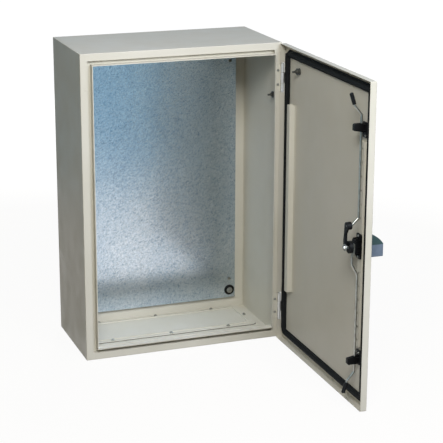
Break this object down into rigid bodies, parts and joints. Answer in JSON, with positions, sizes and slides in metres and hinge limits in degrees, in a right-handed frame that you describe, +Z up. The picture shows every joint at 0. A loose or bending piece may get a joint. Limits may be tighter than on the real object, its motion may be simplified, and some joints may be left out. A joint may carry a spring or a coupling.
{
  "type": "steel wall enclosure",
  "caption": "Tall steel wall enclosure with a hinged door on the right, a galvanised mounting plate, a gland plate and a two-rod lock.",
  "frame": {"origin": "centre of the four wall-fixing holes, on the outer face of the back panel", "axes": "+X to the door's hinge side, +Y out of the back towards the wall, +Z up"},
  "size_m": [0.886, 1.207, 1.2],
  "materials": {
    "painted_steel": "satin powder coat, fine texture",
    "galvanised_steel": "spangled galvanised sheet",
    "zinc_steel": "bright zinc plated",
    "black_plastic": "matte",
    "seal_foam": "matte foam",
    "grip_plastic": "satin moulded",
    "handle_plastic": "satin moulded"
  },
  "bodies": {
    "cabinet": {"body_wrapper": "painted_steel", "back_panel": "painted_steel", "plate_studs": "zinc_steel", "plate_spacers": "zinc_steel", "mounting_plate": "galvanised_steel", "plate_cup_washers": "black_plastic", "plate_washers": "zinc_steel", "plate_nuts": "zinc_steel", "gland_gasket": "seal_foam", "gland_plate": "painted_steel", "gland_screws": "zinc_steel", "spare_hole_plugs": "black_plastic", "body_earth_stud": "zinc_steel", "body_earth_nuts": "zinc_steel", "hinge_body_leaf_upper": "painted_steel", "hinge_body_leaf_lower": "painted_steel", "hinge_pin_upper": "zinc_steel", "hinge_pin_lower": "zinc_steel", "hinge_screws": "zinc_steel"},
    "door": {"hinge_door_leaf_upper": "zinc_steel", "hinge_door_leaf_lower": "zinc_steel", "door_skin": "painted_steel", "door_gasket": "seal_foam", "hinge_side_stiffener": "painted_steel", "handle_side_rail": "painted_steel", "door_earth_stud": "zinc_steel", "door_earth_nuts": "zinc_steel", "escutcheon": "black_plastic", "lock_housing": "black_plastic", "lock_screws": "zinc_steel", "rod_guide_upper": "black_plastic", "rod_guide_lower": "black_plastic", "guide_screws": "zinc_steel"},
    "handle_set": {"handle": "handle_plastic", "handle_grip": "grip_plastic", "lock_spindle": "zinc_steel", "lock_cam": "black_plastic", "cam_screw": "zinc_steel"},
    "upper_rod_set": {"upper_rod": "zinc_steel", "drive_bar": "black_plastic", "upper_rod_cap": "black_plastic"},
    "lower_rod_set": {"lower_rod": "zinc_steel", "lower_rod_cap": "black_plastic"}
  },
  "joints": [
    {"name": "door_hinge", "type": "hinge", "parent": "cabinet", "child": "door", "pos_m": [0.397, -0.412, 0], "axis": [0, 0, 1], "range_deg": [-90, 30]},
    {"name": "handle_turn", "type": "hinge", "parent": "door", "child": "handle_set", "pos_m": [0.412, -1.133, 0], "axis": [1, 0, 0], "range_deg": [0, 90]},
    {"name": "upper_rod_slide", "type": "slide", "parent": "door", "child": "upper_rod_set", "axis": [0, 0, 1], "range_m": [0, 0.01801]},
    {"name": "lower_rod_slide", "type": "slide", "parent": "door", "child": "lower_rod_set", "axis": [0, 0, -1], "range_m": [0, 0.01801]}
  ],
  "couplings": [
    {"joint": "upper_rod_slide", "follows": "handle_turn", "m_per_rad": 0.011459},
    {"joint": "lower_rod_slide", "follows": "handle_turn", "m_per_rad": 0.011459}
  ]
}
